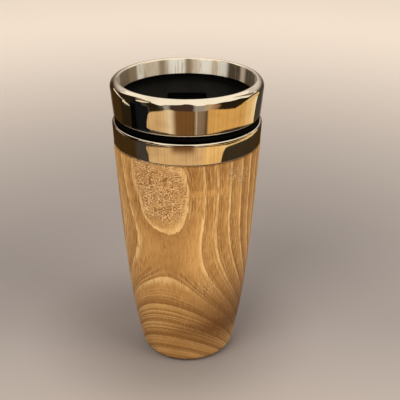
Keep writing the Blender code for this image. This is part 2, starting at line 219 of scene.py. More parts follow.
# %% [markdown]
# ## Finishes as sums
#
# A finish is a node tree. Wiring dozens of Math nodes by hand is hard to read, so a small class wraps
# a socket and lets Python's own operators add the nodes: a sum on signals becomes a chain of Math
# nodes. Every other node comes from one method, which sets the node's settings first and its sockets
# after them. A material and the surround share that method.

# %% A signal
class Signal:
    """One output of a node. Sums with it add Math nodes."""

    def __init__(self, nodes, socket):
        self.nodes = nodes
        self.socket = socket

    def __add__(self, other):
        return self.nodes.math("ADD", self, other)

    def __sub__(self, other):
        return self.nodes.math("SUBTRACT", self, other)

    def __rsub__(self, other):
        return self.nodes.math("SUBTRACT", other, self)

    def __mul__(self, other):
        return self.nodes.math("MULTIPLY", self, other)

    def __truediv__(self, other):
        return self.nodes.math("DIVIDE", self, other)

    def __pow__(self, power):
        return self.nodes.math("POWER", self, power)

    __radd__ = __add__
    __rmul__ = __mul__


# %% Nodes of any tree
class Nodes:
    """A tree of nodes, which all come from one method."""

    def __init__(self, tree):
        self.tree = tree

    def node(self, kind, settings=None, inputs=None, output=0):
        """Add a node: its settings first, then the values or links of its sockets."""
        node = self.tree.nodes.new(kind)
        for key, value in (settings or {}).items():
            if key == "stops":
                self.paint(node.color_ramp, value)
            else:
                setattr(node, key, value)
        for key, value in (inputs or {}).items():
            if isinstance(value, Signal):
                self.tree.links.new(value.socket, node.inputs[key])
            else:
                node.inputs[key].default_value = value
        return Signal(self, node.outputs[output])

    def paint(self, ramp, stops):
        """Give a ramp its stops: places from 0 to 1, each with a colour."""
        ramp.elements[0].position, ramp.elements[0].color = stops[0]
        ramp.elements[1].position, ramp.elements[1].color = stops[-1]
        for place, colour in stops[1:-1]:
            ramp.elements.new(place).color = colour

    def show(self, output, shader):
        """Link a shader to the output of the tree."""
        self.tree.links.new(shader.socket, self.tree.nodes[output].inputs["Surface"])

    def math(self, operation, *values):
        """A Math node on some values."""
        return self.node("ShaderNodeMath", {"operation": operation}, dict(enumerate(values)))

    def split(self, vector):
        """The X, Y and Z of a vector."""
        parts = self.node("ShaderNodeSeparateXYZ", None, {0: vector}).socket.node.outputs
        return [Signal(self, part) for part in parts]

    def ease(self, value, low, high):
        """A smooth step from 0 at the low value to 1 at the high one."""
        inputs = {"Value": value, "From Min": low, "From Max": high}
        return self.node("ShaderNodeMapRange", {"interpolation_type": "SMOOTHSTEP"}, inputs)

    def fall(self, value, low, high):
        """A smooth step the other way, from 1 to 0."""
        return 1 - self.ease(value, low, high)

    def band(self, value, rise, drop):
        """1 between a rise and a drop, which each have a (low, high) pair."""
        return self.ease(value, *rise) * self.fall(value, *drop)

    def mix(self, factor, first, second):
        """A colour between two others."""
        inputs = {0: factor, 6: first, 7: second}
        return self.node("ShaderNodeMix", {"data_type": "RGBA"}, inputs, output=2)


# %% A finish
class Finish(Nodes):
    """A material. Its place is a point of the piece in millimetres."""

    def __init__(self, name, constants):
        self.material = bpy.data.materials.new(name)
        self.material.use_nodes = True
        super().__init__(self.material.node_tree)
        self.shader = self.tree.nodes["Principled BSDF"]
        for socket, value in constants.items():
            self.shader.inputs[socket].default_value = value
        where = self.node("ShaderNodeTexCoord", output="Object")
        self.place = self.node("ShaderNodeMapping", None, {"Vector": where, "Scale": (1000.0,) * 3})

    def feed(self, socket, signal):
        """Link a signal to a socket of the shader."""
        self.tree.links.new(signal.socket, self.shader.inputs[socket])

    def distance(self, centre):
        """How far the place is from a centre."""
        inputs = {0: self.place, 1: centre}
        return self.node("ShaderNodeVectorMath", {"operation": "DISTANCE"}, inputs, output=1)

    def noise(self, grain_mm, detail=2.0):
        """Noise from 0 to 1, whose grains have these sizes along X, Y and Z."""
        scale = tuple(1.0 / size for size in grain_mm)
        stretched = self.node("ShaderNodeMapping", None, {"Vector": self.place, "Scale": scale})
        inputs = {"Vector": stretched, "Scale": 1.0, "Detail": detail}
        return self.node("ShaderNodeTexNoise", None, inputs)

    def round_axis(self, stretches, facing=-1.0):
        """Colours that change with the angle round Z, from stretches of (start in degrees, blur, colour).

        Degrees run towards +X, from -Y or with a facing of 1 from +Y.
        """
        x, y, _ = self.split(self.place)
        angle = self.math("ARCTAN2", x, facing * y)
        stops = [(0.0, stretches[0][2])]
        for (_, _, before), (start, blur, after) in zip(stretches, stretches[1:]):
            stops.append(((start - blur / 2 + 180) / 360, before))
            stops.append(((start + blur / 2 + 180) / 360, after))
        stops.append((1.0, stretches[-1][2]))
        return self.node("ShaderNodeValToRGB", {"stops": stops}, {0: angle / math.tau + 0.5})

    def bump(self, height, depth_mm):
        """A bump from a height between 0 and 1 that stands for this depth."""
        inputs = {"Height": height, "Distance": depth_mm * 0.001, "Strength": 1.0}
        self.feed("Normal", self.node("ShaderNodeBump", None, inputs))


def linear(red, green, blue):
    """A colour as it looks on screen, from 0 to 255, as the linear light that a shader takes."""
    shares = [level / 255 for level in (red, green, blue)]
    return (*[s / 12.92 if s < 0.04045 else ((s + 0.055) / 1.055) ** 2.4 for s in shares], 1.0)


print("mid grey is", [round(v, 3) for v in linear(128, 128, 128)])

# %% [markdown]
# ## The wooden body
#
# The body is one turned piece: a straight taper that draws in faster towards a rounded foot, with a
# shoulder at the top where the steel collar begins and a hidden tenon inside the collar. Its height is
# read from the collar's solid, so that the joint between wood and steel stays a hair wide.

# %% The wood's outline
FIT_GAP = 0.0003
collar_low, collar_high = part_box("collar_band")
_, sleeve_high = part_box("wood_sleeve")
wood_height = collar_low.z - FIT_GAP
WOOD_TOP_RADIUS = 0.0417
WOOD_TAPER = 0.0086
WOOD_BELLY = 0.0066
WOOD_BELLY_POWER = 4
WOOD_EDGE = 0.0006
FOOT_ROUND_HEIGHT = 0.0050
SIDE_POINTS = 48
FOOT_POINTS = 20


def wood_radius(height):
    """The body's radius at a height."""
    drop = 1 - height / wood_height
    return WOOD_TOP_RADIUS - WOOD_TAPER * drop - WOOD_BELLY * drop**WOOD_BELLY_POWER


def wood_lean(height):
    """How far the body's side leans outwards at a height."""
    drop = 1 - height / wood_height
    steepening = WOOD_BELLY * WOOD_BELLY_POWER * drop ** (WOOD_BELLY_POWER - 1)
    return math.atan((WOOD_TAPER + steepening) / wood_height)


lean = wood_lean(FOOT_ROUND_HEIGHT)
foot_round = FOOT_ROUND_HEIGHT / (1 - math.sin(lean))
foot_radius = wood_radius(FOOT_ROUND_HEIGHT) - foot_round * math.cos(lean)
foot_centre = Vector((foot_radius, foot_round))
foot_arc = sweep_points(foot_centre, foot_round, -lean, -math.pi / 2, FOOT_POINTS)
side_drop = (wood_height - WOOD_EDGE * 2 - FOOT_ROUND_HEIGHT) / SIDE_POINTS
side_heights = [wood_height - WOOD_EDGE * 2 - side_drop * i for i in range(SIDE_POINTS)]
print(f"wood {wood_height * 1000:.2f} mm tall, foot rounded by {foot_round * 1000:.2f} mm")

# %% Turn the wood
# Three roundings for small edges.
CRISP, EASED, SOFT = 0.0003, 0.0004, 0.0005
TENON_RADIUS = 0.0401
SLEEVE_BORE = 0.0368
SLEEVE_FLOOR = 0.0070
BORE_FOOT = 0.0238
BORE_CORNER = 0.0140
NECK_STRAIGHT = 0.0297
PLUG_HOLE = 0.0163
tenon_top = sleeve_high.z
wood_corners = [
    (TENON_RADIUS, tenon_top, CRISP),
    (TENON_RADIUS, wood_height, 0),
    (wood_radius(wood_height), wood_height, WOOD_EDGE),
    *[(wood_radius(height), height, 0) for height in side_heights],
    *[(point.x, point.y, 0) for point in foot_arc],
    (PLUG_HOLE, 0, CRISP),
    (PLUG_HOLE, SLEEVE_FLOOR, 0),
    (BORE_FOOT, SLEEVE_FLOOR, 0),
    (BORE_FOOT, BORE_CORNER, 0),
    (SLEEVE_BORE, tenon_top - NECK_STRAIGHT, 0),
    (SLEEVE_BORE, tenon_top, 0),
]
wood_turning = lathe("wood_turning", wood_corners)

# %% [markdown]
# ## Figured wood
#
# Grain on a turned piece isn't painted on: it is where the surface cuts through the growth rings of
# the tree. So the finish works out how far every point lies from the heart of the tree, which stood
# behind and to the right of this blank, and counts rings outwards. Two things bend the rings. Low on
# the blank they swing across the trunk, as they do above a root, which gives the flat arches near the
# foot. High on the front they swell round an old bud and three smaller ones beside it, which gives the
# closed oval. In the finishes, places and grain sizes are in millimetres.

# %% How far along the growth each point lies
HEART_X, HEART_Y = 21.0, 49.9
HEART_TILT_X, HEART_TILT_Y = 0.0763, -0.0587
MID_HEIGHT = 70.0
ROOT_HEIGHT, ROOT_BEND, ROOT_EASE = 101.3, 0.0088, 13.2
BUDS = [
    ((-2.6, -39.3, 116.1), 18.1, 39.2, 7.7),
    ((-28.7, -29.5, 127.1), 9.8, 21.3, 5.2),
    ((-19.4, -34.5, 103.5), 11.1, 10.6, 3.7),
    ((-20.1, -35.3, 124.3), 8.0, 16.0, 2.1),
]
FIRST_RING, RING_WIDTH = 98.1, 5.85
wood = Finish("figured_wood", {"Specular IOR Level": 0.25})
x, y, z = wood.split(wood.place)
from_heart_x = x - (HEART_X + HEART_TILT_X * (z - MID_HEIGHT))
from_heart_y = y - (HEART_Y + HEART_TILT_Y * (z - MID_HEIGHT))


def squared(*ways):
    """The sum of the squares of some signals."""
    return sum(way * way for way in ways)


outwards = squared(from_heart_x, from_heart_y) ** 0.5
below = ROOT_HEIGHT - z
root = 0.5 * (below + (below * below + ROOT_EASE**2) ** 0.5)


def swelling(centre, width, height):
    """How close a point is to an old bud, from 0 far off to 1 at its centre."""
    away = squared((x - centre[0]) / width, (y - centre[1]) / width, (z - centre[2]) / height)
    return wood.math("EXPONENT", -1.0 * away)


swollen = sum(swell * swelling(*bud) for *bud, swell in BUDS)
growth = outwards + 0.5 * ROOT_BEND * root * root + swollen
print("old buds:", len(BUDS))

# %% Rings from the growth
WANDER_MM, RAGGED_MM = 0.9, 0.9
wander = wood.noise((26, 26, 60)) - 0.5
ragged = (wood.noise((1.0, 1.0, 6.0)) - 0.5) * (0.25 + 0.75 * wood.ease(z, 62.0, 96.0))
along = growth + WANDER_MM * wander + RAGGED_MM * ragged
age = (along - FIRST_RING) / RING_WIDTH
within = wood.math("FRACT", age)
ring = wood.math("FLOOR", age)
LINE = {"noise_dimensions": "1D"}
ring_luck = wood.node("ShaderNodeTexWhiteNoise", LINE, {"W": ring})
late = wood.ease(within, 0.30, 1.0)
pale_line = wood.band(within, (0.0, 0.02), (0.04, 0.25))
hairs = {"W": 1.5 * along, "Scale": 1.0, "Detail": 3.0, "Roughness": 0.65}
fine_rings = wood.node("ShaderNodeTexNoise", LINE, hairs)


def near(centre, reach):
    """1 near a centre, fading to 0 at its reach."""
    return wood.fall(wood.distance(centre), 0.4 * reach, reach)


CALM_CENTRE, CALM_REACH = (-7.0, -37.0, 84.0), 30.0
calm = 1 - 0.9 * near(CALM_CENTRE, CALM_REACH)
print("growth rings", RING_WIDTH, "mm wide")

# %% Colours of the rings
GOLD = linear(200, 146, 80)
HONEY = linear(222, 168, 98)
BROWN = linear(148, 97, 42)
PALE = linear(252, 211, 142)
DEEP = linear(92, 55, 22)
drift = wood.ease(wood.noise((24, 24, 50)), 0.35, 0.65)
early_colour = wood.mix(drift, GOLD, HONEY)
late_share = late * (0.45 + 0.5 * ring_luck)
ring_colour = wood.mix(late_share, early_colour, BROWN)
foot_gain = 1 + 0.4 * wood.fall(z, 30.0, 66.0)
fine_dark = 0.58 * calm * foot_gain * wood.ease(fine_rings, 0.50, 0.72)
fine_light = 0.45 * calm * foot_gain * wood.fall(fine_rings, 0.28, 0.46)
fine_colour = wood.mix(fine_light, wood.mix(fine_dark, ring_colour, BROWN), PALE)
patchy = wood.ease(wood.noise((9, 9, 22)), 0.30, 0.60)
lower_fade = 0.35 + 0.65 * wood.ease(z, 38.0, 72.0)
lined = wood.mix(pale_line * lower_fade * (0.40 + 0.6 * patchy), fine_colour, PALE)

# %% Stains, painted shade towards the foot on the right, and a darker line under the collar
STAIN_AND_SHADE = linear(108, 64, 20)
DARK_BAND, TOOL_MARK = ((21.0, 25.0), (28.0, 33.0)), ((116.6, 117.6), (120.6, 121.8))
# Painted shade: darker towards the foot, most on the right.
low = wood.fall(z, 28.0, 78.0) * (0.20 + 0.80 * wood.ease(z, 5.0, 24.0))
painted_low_right_shade = low * (0.26 + 0.84 * wood.ease(x, -14.0, 20.0))
high_right = wood.ease(z, 112.0, 133.0) * wood.band(x, (-3.0, 5.0), (24.0, 34.0))
dark_band = wood.band(z, *DARK_BAND) * wood.ease(x, -22.0, 6.0)
tool_mark = wood.band(z, *TOOL_MARK) * wood.band(x, (-4.0, 4.0), (18.0, 26.0))
joint_line = wood.ease(z, 134.7, 135.5)
stained_and_shaded = wood.mix(0.80 * painted_low_right_shade + 0.30 * high_right, lined, STAIN_AND_SHADE)
for share, colour in ((0.50 * dark_band, STAIN_AND_SHADE), (0.50 * tool_mark, HONEY), (0.65 * joint_line, DEEP)):
    stained_and_shaded = wood.mix(share, stained_and_shaded, colour)

# %% Fibres and pores
fibre = wood.noise((0.5, 0.5, 13.0), 3.0)
above_foot = 0.35 + 0.65 * wood.ease(z, 40.0, 78.0)
left_gain = 1.3 - 0.3 * wood.ease(x, -30.0, -12.0)
upright_grain = above_foot * (0.3 + 0.7 * calm) * left_gain
fibred = wood.mix(0.75 * upright_grain * wood.ease(fibre, 0.50, 0.70), stained_and_shaded, BROWN)
fibred = wood.mix(0.45 * upright_grain * wood.fall(fibre, 0.30, 0.46), fibred, PALE)
pore = wood.ease(wood.noise((0.45, 0.45, 3.5), 1.0), 0.64, 0.73)
pored = wood.mix(pore * (0.30 + 0.4 * late), fibred, DEEP)

# %% The pitted heart and two smaller pitted places
PIT, FLECK = linear(112, 70, 36), linear(246, 210, 158)
SMALL_PITS = [((28.5, -29.5, 126.0), 11.0, 1.0), ((12.0, -34.0, 56.0), 7.0, 0.6)]
SWIRLS = 6.5
patch = wood.ease(wood.noise((6, 6, 6), 1.0), 0.35, 0.60)
inside_first = wood.ease(along, FIRST_RING + 0.3, FIRST_RING + 1.3)
in_oval = inside_first * wood.ease(z, 96.0, 105.0) * wood.ease(swollen, 1.8, 3.2)
heart = in_oval * (0.55 + 0.45 * patch)
smaller = sum(share * near(centre, reach) for centre, reach, share in SMALL_PITS)
pitted = heart + 0.6 * patch * smaller
swirl = wood.noise((4.0, 4.0, 2.2), 1.0)
loop = wood.math("FRACT", SWIRLS * swirl)
broken = wood.ease(wood.noise((2.2, 2.2, 1.8)), 0.28, 0.42)
pits = wood.fall(loop, 0.16, 0.44) * broken * pitted
flecks = wood.band(loop, (0.44, 0.60), (0.74, 0.94)) * broken * pitted
pitted_colour = wood.mix(0.68 * pits, wood.mix(0.10 * in_oval, pored, BROWN), PIT)
wood.feed("Base Color", wood.mix(0.85 * flecks, pitted_colour, FLECK))
wood.feed("Roughness", 0.44 + 0.10 * late + 0.12 * pore + 0.05 * (fibre - 0.5))
wood.bump(0.5 + 0.25 * (fibre - 0.5) - 0.5 * pore - 0.35 * pits, 0.12)
hand_over(wood_turning, "mug", "wood_sleeve", "turned_wood", wood)

# %% [markdown]
# ## The plug in the foot
#
# A disc of the same wood closes the bore from below. It is turned with a small chamfer and a shallow
# step that a chuck would leave, and it shows its end grain: rings across the disc, as a log shows them.

# %% Turn the plug
plug_low, plug_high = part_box("base_plug")
CHUCK_RADIUS, CHUCK_SLOPE, CHUCK_DEPTH, CHUCK_EDGE = 0.0092, 0.0003, 0.0004, 0.0002
plug_corners = [
    (0, plug_high.z, 0),
    (plug_high.x, plug_high.z, SOFT),
    (plug_high.x, plug_low.z, SOFT),
    (CHUCK_RADIUS, plug_low.z, CHUCK_EDGE),
    (CHUCK_RADIUS - CHUCK_SLOPE, plug_low.z + CHUCK_DEPTH, CHUCK_EDGE),
    (0, plug_low.z + CHUCK_DEPTH, 0),
]
plug_disc = lathe("plug_disc", plug_corners)

# %% End grain
PITH_X, PITH_Y = 12.0, 26.0
END_RING_WIDTH = 2.9
END_PALE, END_DARK = linear(178, 128, 74), linear(134, 88, 44)
end_grain = Finish("end_grain", {"Specular IOR Level": 0.4})
x, y, _ = end_grain.split(end_grain.place)
wobble = end_grain.noise((9, 9, 9)) - 0.5
across = squared(x - PITH_X, y - PITH_Y) ** 0.5 + 1.6 * wobble
within = end_grain.math("FRACT", across / END_RING_WIDTH)
speckle = end_grain.noise((0.28, 0.28, 2.0), 1.0)
banded = end_grain.mix(end_grain.ease(within, 0.3, 1.0), END_PALE, END_DARK)
open_pore = end_grain.ease(speckle, 0.58, 0.7)
end_grain.feed("Base Color", end_grain.mix(0.6 * open_pore, banded, DEEP))
end_grain.feed("Roughness", 0.5 + 0.15 * speckle)
end_grain.bump(1 - open_pore, 0.08)
hand_over(plug_disc, "mug", "base_plug", "plug_wood", end_grain)

# %% [markdown]
# ## Steel, polished and brushed
#
# Polished steel is nearly a mirror: its look comes from what stands round it, so its own nodes only
# add the faint smears and hairlines of use. Brushed steel has fine grooves round the axis. They
# spread a reflection upwards and downwards but not sideways, which the shader's anisotropy gives, with
# streaks in the roughness for the coarser strokes.

# %% The two steels
polished = Finish("polished_steel", {"Metallic": 1.0, "IOR": 2.5})
smear = polished.ease(polished.noise((14, 14, 9), 3.0), 0.45, 0.75)
hairline = polished.noise((22, 22, 0.12))
BRIGHT_STEEL, SMEARED_STEEL = linear(222, 217, 208), linear(208, 202, 192)
polished.feed("Base Color", polished.mix(smear, BRIGHT_STEEL, SMEARED_STEEL))
polished.feed("Roughness", 0.03 + 0.03 * smear + 0.02 * polished.ease(hairline, 0.55, 0.75))
polished.bump(hairline, 0.0008)
STEEL, STROKED_STEEL = linear(246, 241, 232), linear(150, 140, 126)


def brush(name, metal, tone_of):
    """Brushed steel, whose tone comes from the place."""
    finish = Finish(name, {"Metallic": metal, "Anisotropic": 1.0, "Anisotropic Rotation": 0.25})
    stroke = finish.noise((30, 30, 0.16), 3.0)
    shade = finish.ease(finish.noise((9, 9, 6)), 0.4, 0.7)
    finish.feed("Base Color", finish.mix(0.06 * stroke + 0.05 * shade, tone_of(finish), STROKED_STEEL))
    finish.feed("Roughness", 0.42 + 0.08 * stroke)
    finish.bump(stroke, 0.01)
    return finish


brushed = brush("brushed_steel", 1.0, lambda finish: STEEL)
print("steel: polished and brushed")

# %% [markdown]
# Inside the lip the steel is brushed, and its colour holds painted reflections: broad upright patches,
# light and dark. The patches are listed by the angle at which each begins, from the back.

# %% Painted reflections inside the lip
# Tones of the painted reflections, from bright to deep.
SHEEN = {
    "bright": linear(255, 250, 236),
    "mid": linear(222, 204, 178),
    "dull": linear(158, 137, 108),
    "dark": linear(122, 105, 83),
    "deep": linear(82, 69, 51),
}
PAINTED_WALL_REFLECTIONS = [
    (-180, 0, "mid"), (-84, 6, "dark"), (-62, 4, "dull"), (-50, 3, "bright"), (-43, 5, "mid"),
    (-26, 3, "dull"), (-18, 7, "bright"), (-1.5, 2, "dull"), (4.5, 3, "mid"), (10.5, 3, "bright"),
    (23, 2, "mid"), (28.5, 2, "bright"), (39, 4, "deep"), (55, 3, "mid"), (62, 4, "deep"),
    (88, 10, "mid"),
]


def painted_wall_reflections(finish):
    """Painted reflections in patches, broken up by fine upright strokes."""
    patches = [(start, blur, SHEEN[name]) for start, blur, name in PAINTED_WALL_REFLECTIONS]
    strokes = finish.ease(finish.noise((0.9, 0.9, 60.0)), 0.52, 0.68)
    return finish.mix(0.50 * strokes, finish.round_axis(patches, 1.0), SHEEN["dull"])


# Nearly matt steel, so the painted reflections give the wall its look.
brushed_wall_painted_reflections = brush("brushed_wall_painted_reflections", 0.10, painted_wall_reflections)
print("patches inside the lip:", len(PAINTED_WALL_REFLECTIONS))

# %% [markdown]
# ## The liner
#
# The drink stands in a thin steel cup that hangs by its flange inside the wood. Only its mouth shows
# once the lid is off. It is a spun shell with a rounded floor, brushed round its axis.

# %% Turn the liner
liner_low, liner_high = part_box("liner_cup")
LINER_WALL = 0.0009
LINER_BORE = 0.0356
LINER_FOOT_RADIUS = 0.0223
LINER_CORNER = 0.0050
LINER_FLANGE = 0.0008
LINER_NECK = 0.0300
LINER_BEND = 0.0200
flange_bottom = liner_high.z - LINER_FLANGE
neck_foot = flange_bottom - LINER_NECK
liner_corners = [
    (0, liner_low.z + LINER_WALL, 0),
    (LINER_FOOT_RADIUS - LINER_WALL, liner_low.z + LINER_WALL, LINER_CORNER - LINER_WALL),
    (LINER_BORE, neck_foot, LINER_BEND),
    (LINER_BORE, liner_high.z, EASED),
    (liner_high.x, liner_high.z, CRISP),
    (liner_high.x, flange_bottom, CRISP),
    (LINER_BORE + LINER_WALL, flange_bottom, 0),
    (LINER_BORE + LINER_WALL, neck_foot, LINER_BEND),
    (LINER_FOOT_RADIUS, liner_low.z, LINER_CORNER),
    (0, liner_low.z, 0),
]
liner_shell = lathe("liner_shell", liner_corners)
hand_over(liner_shell, "mug", "liner_cup", "brushed_steel", brushed)

# %% [markdown]
# ## The collar
#
# The lower steel band caps the top of the wood. It flares a little upwards and its top edge is rolled
# inwards over the liner's flange, so the roll catches a bright line of light all the way round.

# %% Turn the collar
BAND_BORE = 0.0404
BAND_FOOT_RADIUS = 0.0415
BAND_ROUND = 0.0012
BAND_LIP = 0.0012
BAND_LIP_RADIUS = 0.0379
BAND_SUNK = 0.0005
band_top = collar_high.z - BAND_SUNK
collar_corners = [
    (BAND_LIP_RADIUS, collar_high.z - BAND_LIP, CRISP),
    (BAND_LIP_RADIUS, band_top, CRISP),
    (collar_high.x, band_top, BAND_ROUND),
    (BAND_FOOT_RADIUS, collar_low.z, CRISP),
    (BAND_BORE, collar_low.z, CRISP),
    (BAND_BORE, collar_high.z - BAND_LIP, 0),
]
collar_shell = lathe("collar_shell", collar_corners)
hand_over(collar_shell, "mug", "collar_band", "polished_steel", polished)

# %% [markdown]
# ## The black moulding and its threads
#
# Lid, neck and slider are moulded in black plastic with a fine satin texture. The lid screws in by a
# two-start thread: two ridges that climb side by side. A ridge could be swept along a curve, but a
# Screw modifier on a small four-cornered section does the same and keeps the section upright.

# %% Black plastic
def moulding(name, gloss, mask_of, rougher, dark, pale):
    """Satin plastic that turns paler, and rougher or smoother, where its mask is 1."""
    finish = Finish(name, {"Specular IOR Level": gloss})
    texture = finish.noise((0.35, 0.35, 0.35))
    mask = mask_of(finish)
    finish.feed("Base Color", finish.mix(mask, dark, pale))
    finish.feed("Roughness", 0.46 + 0.10 * texture + rougher * mask)
    finish.bump(texture, 0.012)
    return finish


def worn(finish):
    """1 on patches that are worn."""
    return finish.ease(finish.noise((11, 11, 11), 3.0), 0.5, 0.8)


black = moulding("black_moulding", 0.015, worn, 0.10, linear(6, 6, 6), linear(11, 11, 10))
print("black plastic")

# %% A helical ridge
THREAD_LEAD = 0.0120
THREAD_ROOT_WIDTH = 0.0022
THREAD_CREST_WIDTH = 0.0012
THREAD_STARTS = 2


def thread_on(piece, root_radius, crest_radius, height, turn_by):
    """Join both starts of the thread to a piece."""
    root, crest = THREAD_ROOT_WIDTH / 2, THREAD_CREST_WIDTH / 2
    section = [
        Vector((root_radius, height + root)),
        Vector((crest_radius, height + crest)),
        Vector((crest_radius, height - crest)),
        Vector((root_radius, height - root)),
    ]
    for start in range(THREAD_STARTS):
        ridge = draw("ridge", upright(section + section[:1]))
        weld()
        spread = math.tau * start / THREAD_STARTS
        bpy.ops.transform.rotate(value=spread, orient_axis="Z", center_override=ORIGIN)
        bpy.ops.object.mode_set(mode="OBJECT")
        screw = ridge.modifiers.new("climb", "SCREW")
        screw.angle = turn_by
        screw.screw_offset = THREAD_LEAD * turn_by / math.tau
        screw.steps = round(TURN_STEPS * turn_by / math.tau)
        screw.render_steps = screw.steps
        apply_modifiers(ridge)
        bpy.ops.object.mode_set(mode="EDIT")
        bpy.ops.mesh.select_mode(type="EDGE")
        bpy.ops.mesh.select_all(action="DESELECT")
        bpy.ops.mesh.select_non_manifold()
        bpy.ops.mesh.fill_holes(sides=0)
        close_up()
        combine(piece, ridge, "UNION")


# %% [markdown]
# ## The neck ring
#
# A black ring sits in the mouth of the liner. Its flange is the dark groove between the two steel
# bands, and its bore carries the thread for the lid.

# %% Turn the neck ring
neck_low, neck_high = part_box("neck_ring")
NECK_BORE = 0.0336
NECK_RADIUS = 0.0353
NECK_FLANGE_BOTTOM = 0.1491
NECK_FLANGE_TOP = 0.1510
neck_corners = [
    (NECK_BORE, neck_high.z, SOFT),
    (NECK_RADIUS, neck_high.z, SOFT),
    (NECK_RADIUS, NECK_FLANGE_TOP, EASED),
    (neck_high.x, NECK_FLANGE_TOP, EASED),
    (neck_high.x, NECK_FLANGE_BOTTOM, EASED),
    (NECK_RADIUS, NECK_FLANGE_BOTTOM, 0),
    (NECK_RADIUS, neck_low.z, EASED),
    (NECK_BORE, neck_low.z, EASED),
]
neck_insert = lathe("neck_insert", neck_corners)
THREAD_SUNK = 0.0006
SKIRT_RADIUS = 0.0322
THREAD_CLEARANCE = 0.0004
THREAD_ABOVE_SKIRT = 0.0030
lid_low, lid_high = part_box("lid_body")
lid_thread_height = lid_low.z + THREAD_ABOVE_SKIRT
neck_thread_height = lid_thread_height + (THREAD_ROOT_WIDTH + THREAD_CREST_WIDTH) / 2 + FIT_GAP
NECK_THREAD_TURN = math.radians(270)
neck_crest = SKIRT_RADIUS + THREAD_CLEARANCE
thread_on(neck_insert, NECK_BORE + THREAD_SUNK, neck_crest, neck_thread_height, NECK_THREAD_TURN)
hand_over(neck_insert, "mug", "neck_ring", "black_plastic", black)

# %% [markdown]
# ## The lid's steel rim
#
# The upper band and the lip are one sheet of steel: it flares a little on its way up, rolls over the top
# in a wide curve that is kind to the mouth, turns a tighter edge inwards and goes down inside as a
# wall. Each straight run meets its roll without a crease, so the angle where they touch is worked out.
# The inner wall is brushed, the rest is polished.

# %% Turn the rim
rim_low, rim_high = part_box("lid_rim")
RIM_RADIUS = 0.0412
RIM_FLARE = 0.0015
RIM_WALL = 0.0008
RIM_FOOT_ROUND = 0.0008
LIP_ROUND = 0.0040
LIP_EDGE_ROUND = 0.0012
HEM_INSIDE = 0.0008
HEM_TAPER = 0.0006
HEM_BOTTOM = 0.1626
RIM_HEM_EDGE = 0.0001
ROLL_POINTS = 24
roll_centre = Vector((RIM_RADIUS + RIM_FLARE - LIP_ROUND, rim_high.z - LIP_ROUND))
rim_bore = roll_centre.x - HEM_INSIDE
edge_reach = LIP_ROUND - LIP_EDGE_ROUND
edge_meet = math.acos((LIP_EDGE_ROUND - HEM_INSIDE) / edge_reach)
edge_centre = Vector((rim_bore + LIP_EDGE_ROUND, roll_centre.y + edge_reach * math.sin(edge_meet)))
inner_roll = LIP_ROUND - RIM_WALL


def roll_meets(radius, foot_radius, foot_height):
    """The angle at which a straight wall from its foot runs into the roll of the lip."""
    across, down = foot_radius - roll_centre.x, roll_centre.y - foot_height
    return math.acos(radius / math.hypot(across, down)) - math.atan2(down, across)


outer_meet = roll_meets(LIP_ROUND, RIM_RADIUS, rim_low.z)
inner_meet = roll_meets(inner_roll, RIM_RADIUS - RIM_WALL, rim_low.z)
hem_meet = math.acos((RIM_WALL - HEM_INSIDE) / inner_roll)
edge = sweep_points(edge_centre, LIP_EDGE_ROUND, math.pi, edge_meet, ROLL_POINTS // 2)
roll = sweep_points(roll_centre, LIP_ROUND, edge_meet, outer_meet, ROLL_POINTS)
under_roll = sweep_points(roll_centre, inner_roll, inner_meet, hem_meet, ROLL_POINTS)
rim_corners = [
    (rim_bore - HEM_TAPER, HEM_BOTTOM, CRISP),
    *[(point.x, point.y, 0) for point in edge + roll[1:]],
    (RIM_RADIUS, rim_low.z, RIM_FOOT_ROUND),
    (RIM_RADIUS - RIM_WALL, rim_low.z, RIM_HEM_EDGE),
    *[(point.x, point.y, 0) for point in under_roll],
    (rim_bore + RIM_WALL - HEM_TAPER, HEM_BOTTOM, CRISP),
]
rim_shell = lathe("rim_shell", rim_corners)
lip_width = LIP_ROUND + HEM_INSIDE
print(f"lip {lip_width * 1000:.1f} mm wide, wall meets it at {math.degrees(outer_meet):.1f} degrees")

# %% Brush the inner wall
hand_over(rim_shell, "lid", "lid_rim", "polished_steel", polished, brushed_wall_painted_reflections)
BRUSHED_ROUND = math.radians(25)
WALL_REACH = 0.0002
brushed_top = edge_centre.y + LIP_EDGE_ROUND * math.sin(BRUSHED_ROUND)
brushed_faces = 0
for face in rim_shell.data.polygons:
    inner = face.center.xy.length < rim_bore + WALL_REACH
    if inner and face.center.z < brushed_top:
        face.material_index = 1
        brushed_faces += 1
print("brushed faces inside the lip:", brushed_faces)

# %% [markdown]
# ## The deck of the lid
#
# Inside the rim lies a black dish with a track for the slider, and under the slider a sip hole near the
# lips and a small vent behind it. Below hangs the threaded skirt. The round form is turned, and the rest
# is cut out with blocks whose upright edges were rounded first, the way a mould is milled.

